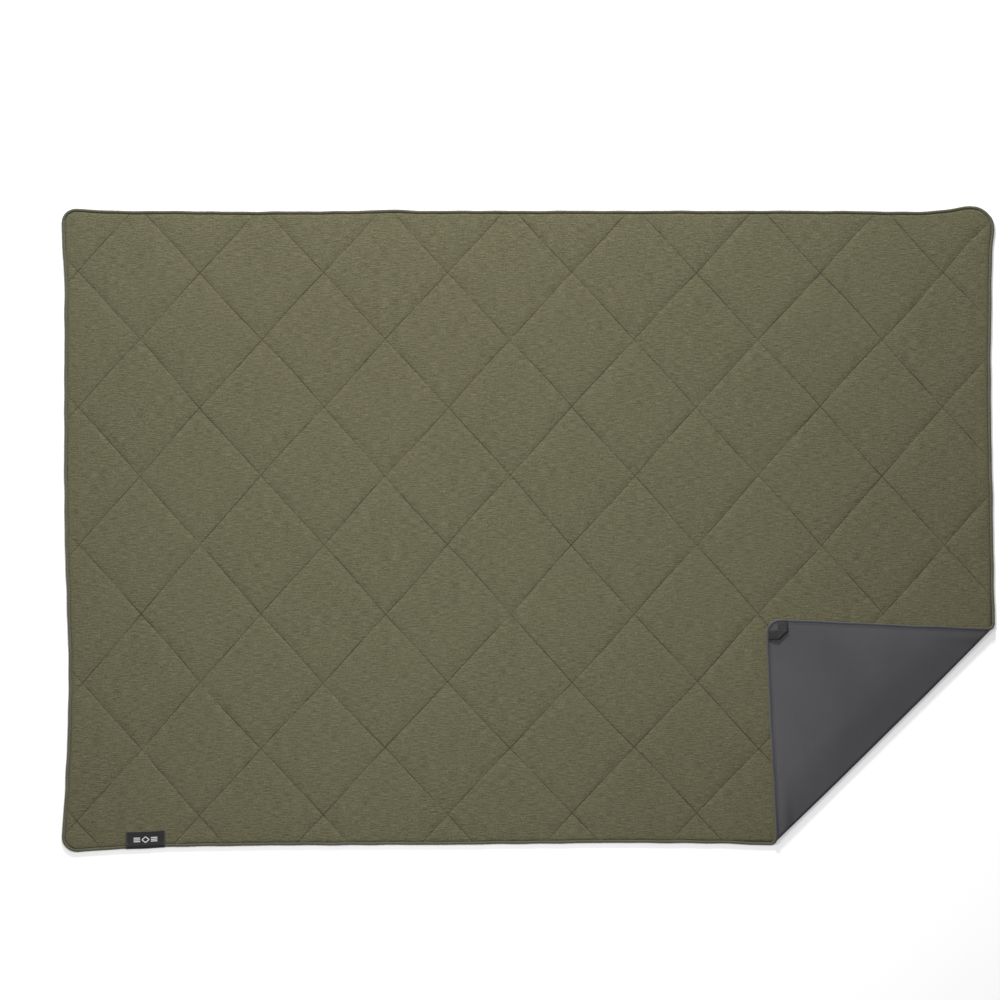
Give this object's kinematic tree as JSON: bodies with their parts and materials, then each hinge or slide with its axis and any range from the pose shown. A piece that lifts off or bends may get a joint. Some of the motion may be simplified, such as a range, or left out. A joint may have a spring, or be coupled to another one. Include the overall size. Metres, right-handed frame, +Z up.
{
  "type": "camp blanket",
  "caption": "Quilted insulated camp blanket with a piped edge, a coated waterproof backing, webbing stake loops at the corners and one corner folded back.",
  "frame": {"origin": "middle of the blanket's outline, on the floor it lies on", "axes": "+X along the length, towards the folded corner; +Y across the width, away from the edge with the label; +Z up"},
  "size_m": [1.9812, 1.397, 0.0216],
  "materials": {
    "cover_fabric": "matt woven polyester, olive, fine slub",
    "insulation": "white polyester wadding",
    "lining_fabric": "thin grey lining",
    "coated_backing": "dark slate woven polyester with a satin waterproof coating",
    "piping_fabric": "matt woven polyester strip, olive",
    "filler_cord": "soft white filler cord",
    "webbing": "black woven webbing",
    "label_patch": "black moulded and woven tag"
  },
  "bodies": {
    "blanket": {"top_cover": "cover_fabric", "batting": "insulation", "quilt_lining": "lining_fabric", "backing": "coated_backing", "piping_sleeve": "piping_fabric", "piping_cord": "filler_cord", "label": "label_patch"},
    "corner": {"top_cover_corner": "cover_fabric", "batting_corner": "insulation", "quilt_lining_corner": "lining_fabric", "backing_corner": "coated_backing", "piping_sleeve_corner": "piping_fabric", "piping_cord_corner": "filler_cord"},
    "loop_back_left": {"stake_loop_back_left": "webbing"},
    "loop_back_right": {"stake_loop_back_right": "webbing"},
    "loop_front_left": {"stake_loop_front_left": "webbing"},
    "loop_front_right": {"stake_loop_front_right": "webbing"}
  },
  "joints": [
    {"name": "corner_fold", "type": "hinge", "parent": "blanket", "child": "corner", "pos_m": [0.7481, -0.456, 0.00835], "axis": [0.7071, 0.7071, 0], "range_deg": [0, 180]},
    {"name": "loop_back_left_swing", "type": "hinge", "parent": "blanket", "child": "loop_back_left", "pos_m": [-0.97339, 0.68129, 0.00123], "axis": [0.7071, 0.7071, 0], "range_deg": [0, 120]},
    {"name": "loop_back_right_swing", "type": "hinge", "parent": "blanket", "child": "loop_back_right", "pos_m": [0.97339, 0.68129, 0.00123], "axis": [0.7071, -0.7071, 0], "range_deg": [0, 120]},
    {"name": "loop_front_left_swing", "type": "hinge", "parent": "blanket", "child": "loop_front_left", "pos_m": [-0.97339, -0.68129, 0.00123], "axis": [-0.7071, 0.7071, 0], "range_deg": [0, 120]},
    {"name": "loop_front_right_swing", "type": "hinge", "parent": "corner", "child": "loop_front_right", "pos_m": [0.52281, -0.23071, 0.01547], "axis": [-0.7071, -0.7071, 0], "range_deg": [0, 110]}
  ]
}
